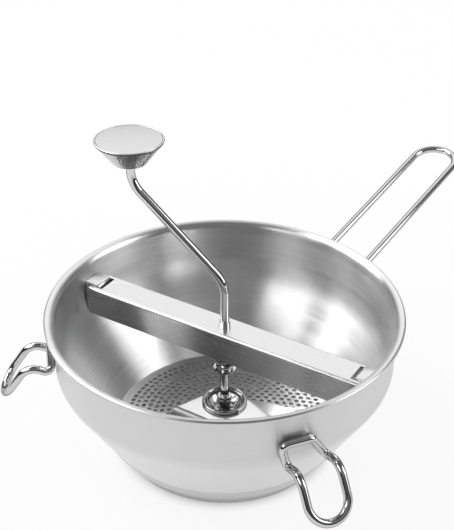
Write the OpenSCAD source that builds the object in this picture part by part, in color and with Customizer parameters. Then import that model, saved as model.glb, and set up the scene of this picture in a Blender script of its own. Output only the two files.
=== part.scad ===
// Hand-cranked food mill: a conical bowl with a straining disc in its floor, a sprung crossbar
// that hooks under two brackets, and a crank that turns a half-round blade over the disc.
// Millimetres. The origin is the centre of the foot ring's lower edge, on the crank's axis.
// +Z is up, +X runs along the crossbar and the long handle points close to +Y.

/* [Bowl] */
// Outer radius of the rim
rim_r = 120.5; // [118:0.5:130]
// Width of the rim, from the wall's outside to the rim's edge
rim_w = 5.5; // [5:0.5:9]
// Height of the rim above the surface
rim_z = 107; // [98:1:125]
// Thickness of the sheet
sheet_t = 1; // [0.8:0.1:1.5]
// Height where the straight wall ends and the cone begins
knee_z = 68; // [60:1:74]
// Outer radius of the cone's lower end
cone_foot_r = 79.5; // [78:0.5:84]
// How far the foot ring stands in from the foot of the cone
foot_step = 6; // [4.5:0.5:11]
// Height of the foot ring, from the surface to the disc seat
foot_h = 10; // [7:1:14]
// Radius of the bend between wall and rim
rim_bend_r = 4; // [2:0.5:5]
// How far the rim's edge is turned down
rim_lip_h = 2.4; // [1.5:0.2:4]

/* [Discs] */
// Gap between a disc and the seat around it
disc_gap = 1.2; // [0.5:0.1:2]
// Thickness of a disc
disc_t = 1; // [0.8:0.1:1.4]
// Width of the flat rim of a disc
disc_rim_w = 5; // [4:0.5:7]
// How far a disc's centre stands above its rim
disc_rise = 8; // [5:0.5:11]
// Radius of the flat boss at a disc's centre
disc_boss_r = 9; // [7:0.5:11]
// Radius of the holes in the fine disc
fine_hole_r = 0.8; // [0.5:0.1:1]
// Radius of the holes in the medium discs
medium_hole_r = 1.4; // [1:0.1:1.6]
// Radius of the holes in the coarse disc
coarse_hole_r = 2.3; // [1.8:0.1:2.6]
// Distance from the crank's axis to the stack of spare discs
stack_dist = 205; // [203:1:230]
// Direction of the stack from the crank's axis, in degrees from +X
stack_turn = 121; // [115:1:128]
// Gap between two discs of the stack
stack_gap = 0.5; // [0.5:0.1:2]
// Length of the lugs that a disc is lifted by
lug_len = 6; // [5:0.5:9]
// How far a disc's lugs reach out past its rim
lug_out = 2; // [1:0.5:2]
// How far a disc's lugs are bent up
lug_rise = 2.5; // [2:0.5:4]

/* [Crossbar] */
// Width of the bar
bar_w = 23; // [21:0.5:28]
// Height of the bar's flanges
bar_h = 21; // [16:0.5:24]
// Thickness of the bar's sheet
bar_t = 1.2; // [1:0.1:1.6]
// Gap between an end of the bar and the bracket's leg
bar_end_gap = 4.15; // [3:0.05:6]
// Depth of the bar's top below the rim
bar_drop = 15; // [13:0.5:18]
// Outer radius of the bar's two bends
bar_bend_r = 2.4; // [2:0.1:3.5]
// Distance from a latch slot's middle to the bar's end
slot_inset = 7.2; // [6.5:0.1:9]
// Length of a latch slot, across the bar
slot_len = 15.5; // [14:0.5:17]
// Width of a latch slot
slot_w = 5; // [4:0.1:6]
// How far a bracket's tip stands outward of its slot's middle
tip_off = 0.7; // [0:0.1:1]

/* [Brackets] */
// Width of a bracket
bracket_w = 14.2; // [12:0.2:16]
// Thickness of a bracket
bracket_t = 1.6; // [1.2:0.1:2]
// Length of a bracket's leg on the wall
bracket_leg = 25; // [16:1:30]
// How far a bracket's tip reaches into its slot
bracket_tip = 3.2; // [2:0.2:4]
// Gap between a bracket and the bar's top
bracket_gap = 0.06; // [0.04:0.01:0.2]

/* [Crank] */
// Radius of the crank rod
rod_r = 3; // [2.5:0.1:3.2]
// Horizontal reach from the axis to the knob
crank_reach = 67.5; // [55:0.5:75]
// Direction of the crank at rest, in degrees from +X
crank_turn = 187; // [180:1:200]
// Height of the lower bend above the rim
lower_bend_up = 19; // [14:1:30]
// Height of the upper bend above the rim
upper_bend_up = 79; // [70:1:90]
// Radius of the rod's bends, on its centreline
rod_bend_r = 20; // [14:1:24]
// Radial clearance of the running fits
run_gap = 0.05; // [0.03:0.01:0.08]
// Outer radius of the crossbar bushing's sleeve
bushing_r = 3.9; // [3.8:0.1:5]
// Outer radius of the crossbar bushing's flange
bushing_flange_r = 7; // [6:0.2:8]
// Height of the sleeve above the bar
bushing_up = 4; // [3:0.5:6]

/* [Spring] */
// Length of the fitted spring
spring_len = 31; // [26:0.5:33]
// Radius of the spring's wire
spring_wire_r = 0.8; // [0.6:0.1:1]
// Mean radius of the spring
spring_r = 5.4; // [5:0.1:6]
// Number of turns
spring_turns = 7; // [5:1:9]
// Outer radius of the spring washers
washer_r = 7.8; // [7:0.1:8.5]
// Thickness of the spring washers
washer_t = 1.2; // [1:0.1:1.6]
// Radius of the pins across the rod
pin_r = 1; // [0.8:0.1:1.2]

/* [Blade] */
// Outer radius of the blade
blade_r = 70; // [62:0.5:72]
// Thickness of the blade
blade_t = 1.2; // [1:0.1:1.6]
// Outer radius of the blade's eye, round the hub
eye_r = 16.5; // [16:0.5:18]
// Height of the blade's flat top above the disc's boss
blade_rise = 6.55; // [5:0.05:8]
// Gap between the blade's low part and the disc
blade_gap = 0.7; // [0.5:0.1:1]
// Direction in which the leading edge leaves the eye, in degrees from +X
lead_turn = 160.5; // [150:0.5:170]
// Direction of the leading edge's outer end, in degrees from +X
lead_end_turn = 234; // [228:1:240]
// Direction of the trailing edge, in degrees from +X
trail_turn = 400; // [380:1:405]
// Distance from the axis to the fold in front of the hub
fold_front = 24; // [22:0.5:30]
// Distance from the axis to the fold at the blade's outer end
fold_end = 38; // [34:0.5:45]
// Distance from the axis to the fold beside the hub
fold_side = 16.3; // [16:0.1:20]
// Radius of the hub cup's lip, to the middle of its rolled edge
hub_r = 14.6; // [14.2:0.1:15]
// Radius of the rolled edge of the hub cup
hub_edge_r = 1.3; // [1:0.1:1.5]
// Outer radius of the hub cup's foot
hub_foot_r = 8.5; // [7.5:0.5:9]
// Thickness of the hub cup
hub_wall = 1.2; // [1:0.1:1.6]
// Outer radius of the hub's core, on the rod
hub_core_r = 3.7; // [3.6:0.1:5]
// Height of the hub's core
hub_h = 10; // [9:0.5:12]
// Outer radius of the shaft collar
collar_r = 4.8; // [4.4:0.1:6]
// Height of the shaft collar
collar_h = 4; // [2:0.2:5]
// Radius of the wire that locks the hub to the rod
clip_wire_r = 0.95; // [0.8:0.05:1.1]
// Direction of the locking wire, in degrees from +X
clip_turn = 32; // [20:1:50]

/* [Knob] */
// Radius of the knob's top
knob_r = 23; // [20:0.5:26]
// Radius of the knob's lower end
knob_foot_r = 11.5; // [10:0.5:14]
// Height of the knob
knob_h = 16.5; // [15:0.5:20]
// Height of the rod left bare between the upper bend and the knob
knob_up = 15.2; // [13:0.2:18]
// Thickness of the knob's sheet
knob_t = 1; // [0.8:0.1:1.2]
// Outer radius of the knob's inner sleeve
sleeve_r = 6; // [5:0.2:7]
// Width of the knob's rounded lip
knob_lip_w = 1.3; // [1:0.1:2]

/* [Handle and hooks] */
// Radius of the handle's wire
handle_wire_r = 2.75; // [2.2:0.05:3]
// Distance between the handle's two wires, centre to centre
handle_w = 35.5; // [30:0.5:42]
// Distance from the crank's axis to the middle of the handle's round end
handle_reach = 290; // [240:1:320]
// Direction of the handle, in degrees from +X
handle_turn = 84.5; // [80:0.5:90]
// Height at which the handle leaves the wall
handle_z = 64; // [62:0.5:68]
// Height of the handle's legs, which are welded to the wall
handle_leg = 17; // [13:0.5:20]
// Slope of the handle, in degrees
handle_slope = 12.2; // [0:0.1:14]
// Radius of the bends where the handle leaves the wall
handle_bend_r = 4.5; // [3.5:0.5:6]
// Radius of the hooks' wire
hook_wire_r = 2.75; // [2.2:0.05:3]
// Distance between a hook's two wires, centre to centre
hook_w = 27; // [24:0.5:32]
// Length of a hook's crosspiece on the wall
hook_cross = 20; // [18:0.5:22]
// Directions of the two hooks, in degrees from +X
hook_turns = [215, 327];
// Height at which the hooks leave the wall
hook_z = 66; // [65:0.5:70]
// Height of a hook's legs, which are welded to the wall
hook_leg = 17.5; // [15:0.5:20]
// How far a hook's crosspiece is turned to one side of its loop, in degrees
hook_lean = 3.6; // [0:0.2:4.4]
// Distance from the wall to the top of a hook's arch
hook_rise_out = 16; // [15:0.5:20]
// Height of the arch's corner above the place where it leaves the wall
hook_rise = 7; // [6:0.5:12]
// Distance from the wall to the start of a hook's round end
hook_out = 27.5; // [26:0.5:36]
// Radius of the bends in the legs of a hook
hook_bend_r = 4; // [3:0.1:4.4]
// Radius of the arch of a hook
hook_arch_r = 11; // [8:0.5:12]
// Angle at which a hook's loop comes down, in degrees
hook_fall = 55; // [45:1:65]

/* [Hidden] */
$fn = 96;

touch = 0.05;                                   // gap between pieces that rest on each other
weld_gap = 0.03;                                // gap between a welded piece and the wall
hole_gap = 0.01;                                // gap round a pin in its hole
beyond = 1;                                     // how far a cutter runs past what it cuts
wall_r = rim_r - rim_w;
inner_r = wall_r - sheet_t;
foot_r = cone_foot_r - foot_step;
foot_in_r = foot_r - sheet_t;
cone_in_foot_r = cone_foot_r - sheet_t;
seat_z = foot_h;                                // top of the disc seat
disc_r = cone_in_foot_r - disc_gap;
disc_flat_r = disc_r - disc_rim_w;
disc_z = seat_z + touch;                        // underside of the fitted disc's rim
boss_z = disc_z + disc_rise + disc_t;           // top of the fitted disc's boss
bar_top = rim_z - bar_drop;
bar_under = bar_top - bar_t;
bracket_x = sqrt(inner_r * inner_r - bracket_w * bracket_w / 4) - weld_gap;
bar_len = 2 * (bracket_x - bracket_t - bar_end_gap);
slot_x = bar_len / 2 - slot_inset;
bushing_flange_t = 1.4;
washer_top = bar_under - bushing_flange_t - touch;
spring_top = washer_top - washer_t;
spring_foot = spring_top - spring_len;
pin_z = spring_foot - washer_t - pin_r - touch;
hub_z = boss_z + touch;                         // underside of the hub
hub_top = hub_z + hub_h;
hub_floor_z = hub_z + hub_wall;
clip_z = hub_floor_z + clip_wire_r + 0.9;       // height at which the locking wire crosses the rod
rod_foot = disc_z + disc_t;                     // lower end of the rod, under the disc's boss
blade_seat_z = boss_z + blade_rise;             // underside of the blade's flat top
hub_edge_z = blade_seat_z + blade_t + touch + hub_edge_r;
eye_hole_r = hub_r - hub_edge_r;
lower_bend_z = rim_z + lower_bend_up;
upper_bend_z = rim_z + upper_bend_up;
knob_z = upper_bend_z + knob_up;
knob_top = knob_z + knob_h;
knob_lip_h = 1.2;
knob_eye_r = rod_r + 0.4;
knob_cap_h = 3;
knob_cap_t = 1;
knob_cap_skirt = 3;                             // width of the cap's turned-down edge
rod_top = knob_top - knob_cap_h - 2.5;
knob_washer_t = 1.2;
knob_washer_z = rod_top - knob_washer_t - 1;
knob_pos = [crank_reach * cos(crank_turn), crank_reach * sin(crank_turn)];

// ---- shared shapes -------------------------------------------------------------------------

// A unit vector along v
function unit(v) = v / norm(v);

// The frame that takes +Z to the direction w and +X to the direction u, placed at p
function frame(u, w, p) =
    let (v = cross(w, u))
    [[u[0], v[0], w[0], p[0]], [u[1], v[1], w[1], p[1]], [u[2], v[2], w[2], p[2]], [0, 0, 0, 1]];

// How far a bend of radius b reaches along each leg of the corner at point i
function trim(p, i, b) =
    let (a = unit(p[i] - p[i - 1]), c = unit(p[i + 1] - p[i]))
    b * tan(acos(max(-1, min(1, a * c))) / 2);

// The points of the bend of radius b at the corner i of the path p
function bend_points(p, i, b, steps) =
    let (a = unit(p[i] - p[i - 1]), c = unit(p[i + 1] - p[i]), turn = acos(a * c),
        centre = p[i] - unit(a - c) * (b / cos(turn / 2)),
        start = unit(p[i] - a * trim(p, i, b) - centre))
    [for (k = [0 : steps]) centre + b * (start * cos(turn * k / steps) + a * sin(turn * k / steps))];

// The path p with each of its inner corners rounded by the matching radius in bends
function rounded(p, bends, steps) = concat([p[0]],
    [for (i = [1 : len(p) - 2]) each bend_points(p, i, bends[i - 1], steps)], [p[len(p) - 1]]);

// A wire swept along the points of path, with a flat end on each side
module swept_wire(path, r, sides) {
    last = len(path) - 1;
    along = [for (i = [0 : last]) unit(path[min(i + 1, last)] - path[max(i - 1, 0)])];
    first = unit(cross(along[0], [0.01, 0.02, 1]));
    across = [for (i = 0, u = first; i <= last; i = i + 1,
        u = i > last ? u : unit(u - along[i] * (u * along[i]))) u];
    points = [for (i = [0 : last], j = [0 : sides - 1])
        let (a = 360 * j / sides, v = cross(along[i], across[i]))
        path[i] + r * (across[i] * cos(a) + v * sin(a))];
    faces = concat(
        [[for (j = [0 : sides - 1]) j]],
        [for (i = [0 : last - 1], j = [0 : sides - 1]) let (k = i * sides, n = (j + 1) % sides)
            [k + j, k + sides + j, k + sides + n, k + n]],
        [[for (j = [sides - 1 : -1 : 0]) last * sides + j]]);
    polyhedron(points, faces);
}

// A flat ring
module ring(r_out, r_in, h) {
    difference() {
        cylinder(h = h, r = r_out);
        translate([0, 0, -beyond]) cylinder(h = h + 2 * beyond, r = r_in);
    }
}

// ---- bowl ----------------------------------------------------------------------------------

// The section of the bowl's sheet, from the foot ring to the turned-down edge of the rim
module bowl_section() {
    shelf_z = foot_h - sheet_t;
    bend_z = rim_z - rim_bend_r - sheet_t;
    union() {
        translate([foot_in_r, 0]) square([sheet_t, foot_h]);
        translate([foot_in_r, shelf_z]) square([cone_foot_r - foot_in_r, sheet_t]);
        polygon([[cone_foot_r, shelf_z], [wall_r, knee_z], [wall_r, bend_z],
            [inner_r, bend_z], [inner_r, knee_z], [cone_in_foot_r, shelf_z + sheet_t / 2]]);
        translate([wall_r + rim_bend_r, bend_z]) intersection() {
            difference() {
                circle(r = rim_bend_r + sheet_t);
                circle(r = rim_bend_r);
            }
            translate([-rim_bend_r - sheet_t, 0]) square(rim_bend_r + sheet_t);
        }
        translate([wall_r + rim_bend_r, rim_z - sheet_t])
            square([rim_r - wall_r - rim_bend_r, sheet_t]);
        translate([rim_r - sheet_t, rim_z - rim_lip_h]) square([sheet_t, rim_lip_h]);
    }
}

module bowl() {
    color("gainsboro") rotate_extrude() bowl_section();
}

// ---- discs ---------------------------------------------------------------------------------

// The plain pressing of a disc: flat rim, cone and flat boss, with its underside at z = 0
module disc_blank() {
    rotate_extrude() polygon([
        [rod_r + run_gap, disc_rise], [disc_boss_r, disc_rise], [disc_flat_r, 0], [disc_r, 0],
        [disc_r, disc_t], [disc_flat_r, disc_t], [disc_boss_r, disc_rise + disc_t],
        [rod_r + run_gap, disc_rise + disc_t]]);
}

// The two lugs on a disc's rim, bent out and up, for lifting it out
module disc_lugs() {
    for (a = [0, 180])
        rotate([0, 0, a]) translate([0, lug_len / 2, 0]) rotate([90, 0, 0]) linear_extrude(lug_len)
            polygon([[disc_r - disc_t, 0], [disc_r, 0], [disc_r + lug_out, lug_rise],
                [disc_r + lug_out, lug_rise + disc_t], [disc_r - disc_t, disc_t]]);
}

// A ring of holes through a disc
module hole_ring(r, count, hole_r, shift) {
    for (i = [0 : count - 1])
        rotate([0, 0, (i + shift) * 360 / count]) translate([r, 0, -beyond])
            cylinder(h = disc_rise + disc_t + 2 * beyond, r = hole_r, $fn = 24);
}

// A disc with evenly spaced rings of holes between its boss and its rim
module perforated_disc(hole_r, rings, per_ring) {
    first = disc_boss_r + 3 * hole_r;
    step = (disc_flat_r - 3 * hole_r - first) / (rings - 1);
    difference() {
        disc_blank();
        for (k = [0 : rings - 1]) hole_ring(first + k * step, per_ring[k], hole_r, (k % 2) / 2);
    }
    disc_lugs();
}

module straining_disc() {
    color("silver") translate([0, 0, disc_z]) rotate([0, 0, 90])
        perforated_disc(medium_hole_r, 5, [10, 18, 26, 34, 42]);
}

// One of the spare discs, at its place in the stack behind the bowl
module spare_disc(level, hole_r, rings, per_ring) {
    color("silver") translate([stack_dist * cos(stack_turn), stack_dist * sin(stack_turn),
        level * (disc_t + stack_gap)]) perforated_disc(hole_r, rings, per_ring);
}

module spare_disc_coarse() spare_disc(0, coarse_hole_r, 4, [10, 18, 26, 32]);
module spare_disc_medium() spare_disc(1, medium_hole_r, 4, [10, 20, 30, 40]);
module spare_disc_fine() spare_disc(2, fine_hole_r, 4, [12, 20, 30, 40]);

// ---- crossbar ------------------------------------------------------------------------------

// The section of the bar: a channel that is open below
module bar_section() {
    inner_bend = bar_bend_r - bar_t;
    difference() {
        union() {
            translate([-bar_w / 2, 0]) square([bar_w, bar_h - bar_bend_r]);
            translate([-bar_w / 2 + bar_bend_r, 0]) square([bar_w - 2 * bar_bend_r, bar_h]);
            for (s = [-1, 1]) translate([s * (bar_w / 2 - bar_bend_r), bar_h - bar_bend_r])
                circle(r = bar_bend_r);
        }
        translate([-bar_w / 2 + bar_t, -beyond])
            square([bar_w - 2 * bar_t, bar_h - bar_bend_r + beyond]);
        translate([-bar_w / 2 + bar_bend_r, -beyond])
            square([bar_w - 2 * bar_bend_r, bar_h - bar_t + beyond]);
        for (s = [-1, 1]) translate([s * (bar_w / 2 - bar_bend_r), bar_h - bar_bend_r])
            circle(r = inner_bend);
    }
}

module crossbar() {
    color("whitesmoke") difference() {
        translate([-bar_len / 2, 0, bar_top - bar_h]) rotate([90, 0, 90])
            linear_extrude(bar_len) bar_section();
        for (s = [-1, 1]) translate([s * slot_x - slot_w / 2, -slot_len / 2, bar_under - beyond])
            cube([slot_w, slot_len, bar_t + 2 * beyond]);
        translate([0, 0, bar_under - beyond])
            cylinder(h = bar_t + 2 * beyond, r = bushing_r + touch);
    }
}

module crossbar_bushing() {
    color("silver") difference() {
        union() {
            translate([0, 0, bar_under - bushing_flange_t])
                cylinder(h = bushing_flange_t - touch, r = bushing_flange_r);
            translate([0, 0, bar_under - bushing_flange_t])
                cylinder(h = bushing_flange_t + bar_t + bushing_up, r = bushing_r);
        }
        translate([0, 0, bar_under - bushing_flange_t - beyond])
            cylinder(h = bushing_up + bar_t + bushing_flange_t + 2 * beyond, r = rod_r + run_gap);
    }
}

// A bracket on the +X wall: a leg on the wall, an arm over the bar's end and a tip in its slot
module bracket() {
    arm_z = bar_top + bracket_gap;
    tip_x = slot_x + tip_off - bracket_t / 2;
    translate([bracket_x - bracket_t, -bracket_w / 2, arm_z + bracket_t - bracket_leg])
        cube([bracket_t, bracket_w, bracket_leg]);
    translate([tip_x, -bracket_w / 2, arm_z]) cube([bracket_x - tip_x, bracket_w, bracket_t]);
    translate([tip_x, -bracket_w / 2, arm_z - bracket_tip])
        cube([bracket_t, bracket_w, bracket_tip + bracket_t]);
}

module bracket_right() {
    color("gainsboro") bracket();
}

module bracket_left() {
    color("gainsboro") mirror([1, 0, 0]) bracket();
}

// ---- spring and its washers ----------------------------------------------------------------

// A pin of radius r through the rod, which reaches out to each side
module cross_pin(out, r, turn, z) {
    rotate([0, 0, turn]) translate([-out, 0, z]) rotate([0, 90, 0])
        cylinder(h = 2 * out, r = r, $fn = 32);
}

module upper_spring_washer() {
    color("silver") translate([0, 0, spring_top]) ring(washer_r, rod_r + 4 * run_gap, washer_t);
}

module lower_spring_washer() {
    color("silver") translate([0, 0, spring_foot - washer_t])
        ring(washer_r, rod_r + 4 * run_gap, washer_t - touch);
}

// The coil, swept ring by ring, with its two end turns closed up
module spring() {
    sides = 8;
    steps = spring_turns * 20;
    low = spring_foot + spring_wire_r;
    high = spring_top - touch - spring_wire_r;
    closed = 1 / spring_turns;
    end_rise = 0.05;
    function rise(t) = t < closed ? t / closed * end_rise
        : t > 1 - closed ? 1 - (1 - t) / closed * end_rise
        : end_rise + (1 - 2 * end_rise) * (t - closed) / (1 - 2 * closed);
    points = [for (i = [0 : steps]) let (t = i / steps, a = 360 * spring_turns * t,
            z = low + (high - low) * rise(t)) for (j = [0 : sides - 1])
        let (b = 360 * j / sides, r = spring_r + spring_wire_r * cos(b))
        [r * cos(a), r * sin(a), z + spring_wire_r * sin(b)]];
    last = steps * sides;
    faces = concat(
        [[for (j = [0 : sides - 1]) j]],
        [for (i = [0 : steps - 1], j = [0 : sides - 1]) let (k = i * sides, n = (j + 1) % sides)
            [k + j, k + sides + j, k + sides + n, k + n]],
        [[for (j = [sides - 1 : -1 : 0]) last + j]]);
    color("lightgray") polyhedron(points, faces);
}

module spring_pin() {
    color("silver") cross_pin(washer_r - pin_r, pin_r, crank_turn, pin_z);
}

// ---- crank ---------------------------------------------------------------------------------

// The rod is straight where it turns in the disc and the bushing and where the knob turns on it
module crank_rod() {
    lean = atan(crank_reach / (upper_bend_z - lower_bend_z));
    bend_reach = rod_bend_r * tan(lean / 2);
    low_end = lower_bend_z - bend_reach;
    high_end = upper_bend_z + bend_reach;
    overlap = 1.5;
    sink = 0.02;
    steps = 9;
    path = rounded([[0, 0, low_end - overlap], [0, 0, lower_bend_z],
        [knob_pos[0], knob_pos[1], upper_bend_z], [knob_pos[0], knob_pos[1], high_end + overlap]],
        [rod_bend_r, rod_bend_r], steps);
    color("silver") {
        difference() {
            translate([0, 0, rod_foot]) cylinder(h = low_end - rod_foot, r = rod_r);
            cross_pin(washer_r, pin_r + hole_gap, crank_turn, pin_z);
            cross_pin(washer_r, clip_wire_r + hole_gap, clip_turn, clip_z);
        }
        swept_wire(path, rod_r - sink, 32);
        at_knob(high_end) cylinder(h = rod_top - high_end, r = rod_r);
    }
}

module shaft_collar() {
    color("silver") translate([0, 0, hub_top + touch]) ring(collar_r, rod_r + touch, collar_h);
}

// ---- blade ---------------------------------------------------------------------------------

// Height of the disc's top at radius r
function disc_top(r) = disc_z + disc_t
    + disc_rise * max(0, min(1, (disc_flat_r - r) / (disc_flat_r - disc_boss_r)));

// The blade's folds: direction of each fold's outer side, its distance from the axis, its slope
folds = [[270, fold_front, 1.3], [340, fold_end, 0.8], [66, fold_side, 0.42]];

// How far the blade falls below its flat top at the plan point p
function fall(p) = max([for (f = folds)
    f[2] * max(0, p[0] * cos(f[0]) + p[1] * sin(f[0]) - f[1])]);

// Height of the blade's underside at the plan point p
function blade_under(p) = max(disc_top(norm(p)) + blade_gap, blade_seat_z - fall(p));

// How far the blade's flat top lies above its low part, at the plan point p
function above_disc(p) = blade_seat_z - fall(p) - disc_top(norm(p)) - blade_gap;

// The share of the way from a to b at which a blade line meets its first fold
function first_fold(a, b) = min([1, for (f = folds)
    let (n = [cos(f[0]), sin(f[0])], at_a = n * a - f[1], at_b = n * b - f[1])
    if (at_b > 0) max(0, -at_a / (at_b - at_a))]);

// The share of the way from a to b at which a blade line comes down to the disc
function landing(a, b, low, high, n) = n == 0 ? high :
    let (mid = (low + high) / 2)
    above_disc(a + (b - a) * mid) > 0 ? landing(a, b, mid, high, n - 1)
        : landing(a, b, low, mid, n - 1);

// The blade's wing: a fan of folded sheet from its leading edge to its trailing edge
module blade_wing() {
    cols = 36;
    root_w = 2;
    in_r = eye_r - root_w;
    slope_rows = 2;
    rows = 2 + slope_rows;
    row_len = rows + 1;
    layer = (cols + 1) * row_len;
    lines = [for (i = [0 : cols]) let (t = i / cols,
        a_in = lead_turn + (trail_turn - lead_turn) * t,
        a_out = lead_end_turn + (trail_turn - lead_end_turn) * t,
        a = in_r * [cos(a_in), sin(a_in)], b = blade_r * [cos(a_out), sin(a_out)],
        fold = min(0.9, max(0.02, first_fold(a, b))),
        foot = max(fold + 0.02, min(0.98, landing(a, b, fold, 1, 12))))
        [for (k = [0, fold, for (j = [1 : slope_rows]) fold + (foot - fold) * j / slope_rows, 1])
            a + (b - a) * k]];
    points = [for (up = [0, blade_t], line = lines, p = line) [p[0], p[1], blade_under(p) + up]];
    faces = concat(
        [for (i = [0 : cols - 1], j = [0 : rows - 1]) let (k = i * row_len + j)
            each [[k, k + 1, k + row_len + 1], [k, k + row_len + 1, k + row_len]]],
        [for (i = [0 : cols - 1], j = [0 : rows - 1]) let (k = layer + i * row_len + j)
            each [[k, k + row_len + 1, k + 1], [k, k + row_len, k + row_len + 1]]],
        [for (i = [0 : cols - 1]) let (k = i * row_len)
            each [[k, k + row_len, layer + k + row_len], [k, layer + k + row_len, layer + k]]],
        [for (i = [0 : cols - 1]) let (k = i * row_len + rows)
            each [[k, layer + k, layer + k + row_len], [k, layer + k + row_len, k + row_len]]],
        [for (j = [0 : rows - 1]) each [[j, layer + j, layer + j + 1], [j, layer + j + 1, j + 1]]],
        [for (j = [0 : rows - 1]) let (k = cols * row_len + j)
            each [[k, k + 1, layer + k + 1], [k, layer + k + 1, layer + k]]]);
    polyhedron(points, faces);
}

module blade() {
    color("white") union() {
        translate([0, 0, blade_seat_z]) ring(eye_r, eye_hole_r, blade_t);
        blade_wing();
    }
}

// The hub: a cup that stands on the disc and holds the blade's eye under its rolled edge
module blade_hub() {
    neck_r = eye_hole_r - touch;
    color("silver") difference() {
        rotate_extrude() union() {
            polygon([[0, hub_z], [hub_foot_r, hub_z], [neck_r, blade_seat_z], [neck_r, hub_edge_z],
                [neck_r - hub_wall, hub_edge_z], [neck_r - hub_wall, blade_seat_z],
                [hub_foot_r - hub_wall, hub_floor_z], [hub_core_r, hub_floor_z],
                [hub_core_r, hub_top], [0, hub_top]]);
            translate([hub_r, hub_edge_z]) circle(r = hub_edge_r);
            translate([neck_r - hub_wall, hub_edge_z]) square([hub_r - neck_r + hub_wall, hub_wall]);
        }
        translate([0, 0, hub_z - beyond]) cylinder(h = hub_h + 2 * beyond, r = rod_r + touch);
        cross_pin(hub_core_r + beyond, clip_wire_r + hole_gap, clip_turn, clip_z);
    }
}

// The wire that locks the hub: it crosses the rod, and its tail leans on the cup's lip
module hub_clip() {
    stub = 2.6;
    out = hub_core_r + stub;
    tail_z = blade_seat_z + blade_t - clip_z;
    bend = 1.6;
    steps = 5;
    color("silver") rotate([0, 0, clip_turn]) translate([0, 0, clip_z])
        swept_wire(rounded([[-hub_core_r - 1.5, 0, 0], [out, 0, 0], [out + 3.6, 3, tail_z]],
            [bend], steps), clip_wire_r, 16);
}

// ---- knob ----------------------------------------------------------------------------------

module at_knob(z) {
    translate([knob_pos[0], knob_pos[1], z]) children();
}

// The knob's cup: a cone of sheet with an eye for the rod below and a rounded lip above
module knob_shell() {
    lip_foot = knob_h - knob_lip_h;
    round = 0.5;
    color("silver") at_knob(knob_z) rotate_extrude() polygon([
        [knob_eye_r, 0], [knob_foot_r, 0], [knob_r, lip_foot - round], [knob_r, lip_foot],
        [knob_r - round, knob_h], [knob_r - knob_lip_w, knob_h],
        [knob_r - knob_lip_w, lip_foot - knob_t], [knob_foot_r - knob_t, knob_t],
        [knob_eye_r, knob_t]]);
}

// The lid of the knob, with its edge turned down into the cup's lip
module knob_cap() {
    edge_r = knob_r - knob_lip_w - touch;
    skirt_r = edge_r - knob_cap_skirt;
    edge_t = 0.9;
    dome = 0.5;
    color("silver") at_knob(knob_top - knob_cap_h) rotate_extrude() polygon([
        [0, knob_cap_h - knob_cap_t], [skirt_r, knob_cap_h - knob_cap_t - dome / 2],
        [skirt_r, edge_t], [edge_r - knob_cap_t, edge_t], [edge_r, edge_t + dome],
        [edge_r, knob_cap_h - dome], [0, knob_cap_h]]);
}

module knob_sleeve() {
    color("dimgray") at_knob(knob_z + knob_t + touch)
        ring(sleeve_r, rod_r + run_gap, knob_washer_z - knob_z - knob_t - 3 * touch);
}

module knob_washer() {
    color("silver") at_knob(knob_washer_z)
        ring(sleeve_r - 0.4, rod_r + 2 * hole_gap, knob_washer_t);
}

// ---- handle and hooks ----------------------------------------------------------------------

// Distance from the axis at which a wire of radius r, o to the side, rests on the wall
function at_wall(r, o) = sqrt(pow(wall_r + r + weld_gap, 2) - o * o);

// The point [x, y, z] turned by the angle a about the axis
function turned(p, a) = [p[0] * cos(a) - p[1] * sin(a), p[0] * sin(a) + p[1] * cos(a), p[2]];

// The point [x, z] of a loop's plan at the distance y to the side
function aside(p, y) = [p[0], y, p[1]];

// One half of a loop: side s of the crosspiece, which is cross long, lies at cross_at and is
// turned by lean; then the legs, half a width apart, to the middle of the round end.
function half_loop(s, cross_at, cross, lean, legs, bends, half, slope) =
    let (start = legs[len(legs) - 1], tip = start + half * [cos(slope), sin(slope)], steps = 8)
    rounded(concat([turned(aside(cross_at, s * touch), lean)],
        [turned(aside(cross_at, s * cross / 2), lean)],
        [for (k = [0 : len(legs) - 2]) aside(legs[k], s * half)],
        [aside(tip, s * half), aside(tip, 0)]), concat(bends, [half * 0.98]), steps);

// A closed loop of wire with a crosspiece on the wall, where its two cut ends meet, and a round
// end that starts at the last point of legs and slopes as the last leg does.
module loop(cross_at, cross, lean, legs, bends, w, turn, slope, r) {
    first = half_loop(1, cross_at, cross, lean, legs, bends, w / 2, slope);
    second = half_loop(-1, cross_at, cross, lean, legs, bends, w / 2, slope);
    back = [for (k = [len(second) - 2 : -1 : 0]) second[k]];
    rotate([0, 0, turn]) swept_wire(concat(first, back), r, 16);
}

module handle_loop() {
    foot_t = at_wall(handle_wire_r, handle_w / 2);
    end_z = handle_z + tan(handle_slope) * (handle_reach - foot_t);
    color("silver") loop([at_wall(handle_wire_r, 0), handle_z + handle_leg], handle_w, 0,
        [[foot_t, handle_z], [handle_reach, end_z]], [handle_bend_r, handle_bend_r],
        handle_w, handle_turn, handle_slope, handle_wire_r);
}

// A hook: a crosspiece and two legs on the wall, an arch over the pot's rim and a loop down
module hook(turn) {
    foot_t = at_wall(hook_wire_r, hook_w / 2);
    arch_z = hook_z + hook_rise;
    end_z = arch_z - (hook_out - hook_rise_out) * tan(hook_fall);
    color("silver") loop([at_wall(hook_wire_r, 0), hook_z + hook_leg], hook_cross, -hook_lean,
        [[foot_t, hook_z], [foot_t + hook_rise_out, arch_z], [foot_t + hook_out, end_z]],
        [hook_bend_r, hook_bend_r, hook_arch_r], hook_w, turn, -hook_fall, hook_wire_r);
}

module hook_left() hook(hook_turns[0]);
module hook_right() hook(hook_turns[1]);

// ---- output --------------------------------------------------------------------------------

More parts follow.
